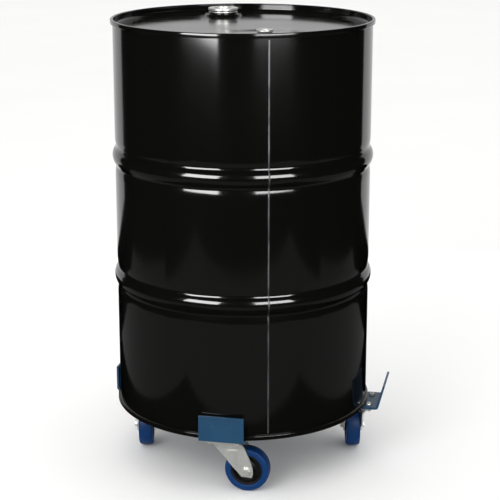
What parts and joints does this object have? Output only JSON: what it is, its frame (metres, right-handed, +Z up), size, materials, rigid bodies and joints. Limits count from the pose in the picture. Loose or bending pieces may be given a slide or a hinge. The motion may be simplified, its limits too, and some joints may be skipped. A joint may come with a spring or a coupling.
{
  "type": "steel drum on dolly",
  "caption": "Tall closed-head steel drum with rolling hoops and screw bungs, standing on a cross-shaped bar dolly with swivel casters.",
  "frame": {"origin": "on the floor, under the middle of the outline that the four upturned bar ends make", "axes": "+Z up along the drum; +X out along the dolly arm whose flared end stands clear of the drum to the right; +Y out along the back arm; the side weld and the small bung face -Y"},
  "size_m": [0.6348, 0.6348, 1.013],
  "materials": {
    "black_enamel": "gloss stoving enamel",
    "blue_paint": "satin powder coat",
    "zinc_plate": "bright zinc plated",
    "bearing_steel": "ground and greased",
    "weld_line": "bare mash weld under clear lacquer",
    "seam_compound": "cured sealing compound",
    "gasket_rubber": "moulded",
    "black_nylon": "moulded polyamide",
    "blue_rubber": "moulded elastic rubber"
  },
  "bodies": {
    "dolly": {"long_bar": "blue_paint", "front_bar": "blue_paint", "back_bar": "blue_paint", "centre_welds": "blue_paint", "caster_bolts": "zinc_plate", "caster_nuts": "zinc_plate", "front_plate": "zinc_plate", "front_kingpin": "zinc_plate", "front_swivel_balls": "bearing_steel", "right_plate": "zinc_plate", "right_kingpin": "zinc_plate", "right_swivel_balls": "bearing_steel", "back_plate": "zinc_plate", "back_kingpin": "zinc_plate", "back_swivel_balls": "bearing_steel", "left_plate": "zinc_plate", "left_kingpin": "zinc_plate", "left_swivel_balls": "bearing_steel"},
    "drum": {"drum_shell": "black_enamel", "drum_head": "black_enamel", "drum_base": "black_enamel", "top_seam_sealant": "seam_compound", "bottom_seam_sealant": "seam_compound", "side_weld": "weld_line", "large_bung_flange": "zinc_plate", "large_flange_gasket": "gasket_rubber", "small_bung_flange": "zinc_plate", "small_flange_gasket": "gasket_rubber"},
    "large_seal": {"large_plug_gasket": "gasket_rubber"},
    "large_plug": {"large_bung_plug": "zinc_plate"},
    "small_seal": {"small_plug_gasket": "gasket_rubber"},
    "small_plug": {"small_bung_plug": "zinc_plate"},
    "front_swivel": {"front_fork": "zinc_plate", "front_axle_bolt": "zinc_plate", "front_axle_nut": "zinc_plate", "front_axle_bush": "bearing_steel"},
    "front_wheel": {"front_hub": "black_nylon", "front_tyre": "blue_rubber"},
    "right_swivel": {"right_fork": "zinc_plate", "right_axle_bolt": "zinc_plate", "right_axle_nut": "zinc_plate", "right_axle_bush": "bearing_steel"},
    "right_wheel": {"right_hub": "black_nylon", "right_tyre": "blue_rubber"},
    "back_swivel": {"back_fork": "zinc_plate", "back_axle_bolt": "zinc_plate", "back_axle_nut": "zinc_plate", "back_axle_bush": "bearing_steel"},
    "back_wheel": {"back_hub": "black_nylon", "back_tyre": "blue_rubber"},
    "left_swivel": {"left_fork": "zinc_plate", "left_axle_bolt": "zinc_plate", "left_axle_nut": "zinc_plate", "left_axle_bush": "bearing_steel"},
    "left_wheel": {"left_hub": "black_nylon", "left_tyre": "blue_rubber"}
  },
  "joints": [
    {"name": "drum_lift", "type": "slide", "parent": "dolly", "child": "drum", "axis": [0, 0, 1], "range_m": [0, 0.15]},
    {"name": "large_plug_rise", "type": "slide", "parent": "drum", "child": "large_seal", "axis": [0, 0, 1], "range_m": [0, 0.0145]},
    {"name": "large_plug_turn", "type": "hinge", "parent": "large_seal", "child": "large_plug", "pos_m": [-0.10665, 0.17134, 1], "axis": [0, 0, 1], "range_deg": [0, 2160]},
    {"name": "small_plug_rise", "type": "slide", "parent": "drum", "child": "small_seal", "axis": [0, 0, 1], "range_m": [0, 0.0132]},
    {"name": "small_plug_turn", "type": "hinge", "parent": "small_seal", "child": "small_plug", "pos_m": [0.06685, -0.21114, 1], "axis": [0, 0, 1], "range_deg": [0, 2520]},
    {"name": "front_caster_swivel", "type": "hinge", "parent": "dolly", "child": "front_swivel", "pos_m": [-0.0074, -0.2564, 0.12], "axis": [0, 0, 1], "continuous": true},
    {"name": "front_wheel_spin", "type": "hinge", "parent": "front_swivel", "child": "front_wheel", "pos_m": [0.0396, -0.2564, 0.05], "axis": [0, 1, 0], "continuous": true},
    {"name": "right_caster_swivel", "type": "hinge", "parent": "dolly", "child": "right_swivel", "pos_m": [0.2416, -0.0074, 0.12], "axis": [0, 0, 1], "continuous": true},
    {"name": "right_wheel_spin", "type": "hinge", "parent": "right_swivel", "child": "right_wheel", "pos_m": [0.23223, 0.03866, 0.05], "axis": [-0.9799, -0.1994, 0], "continuous": true},
    {"name": "back_caster_swivel", "type": "hinge", "parent": "dolly", "child": "back_swivel", "pos_m": [-0.0074, 0.2416, 0.12], "axis": [0, 0, 1], "continuous": true},
    {"name": "back_wheel_spin", "type": "hinge", "parent": "back_swivel", "child": "back_wheel", "pos_m": [-0.05156, 0.22553, 0.05], "axis": [0.342, -0.9397, 0], "continuous": true},
    {"name": "left_caster_swivel", "type": "hinge", "parent": "dolly", "child": "left_swivel", "pos_m": [-0.2564, -0.0074, 0.12], "axis": [0, 0, 1], "continuous": true},
    {"name": "left_wheel_spin", "type": "hinge", "parent": "left_swivel", "child": "left_wheel", "pos_m": [-0.24703, -0.05346, 0.05], "axis": [0.9799, 0.1994, 0], "continuous": true}
  ],
  "couplings": [
    {"joint": "large_plug_rise", "follows": "large_plug_turn", "m_per_rad": 0.0003675},
    {"joint": "small_plug_rise", "follows": "small_plug_turn", "m_per_rad": 0.00028875}
  ]
}
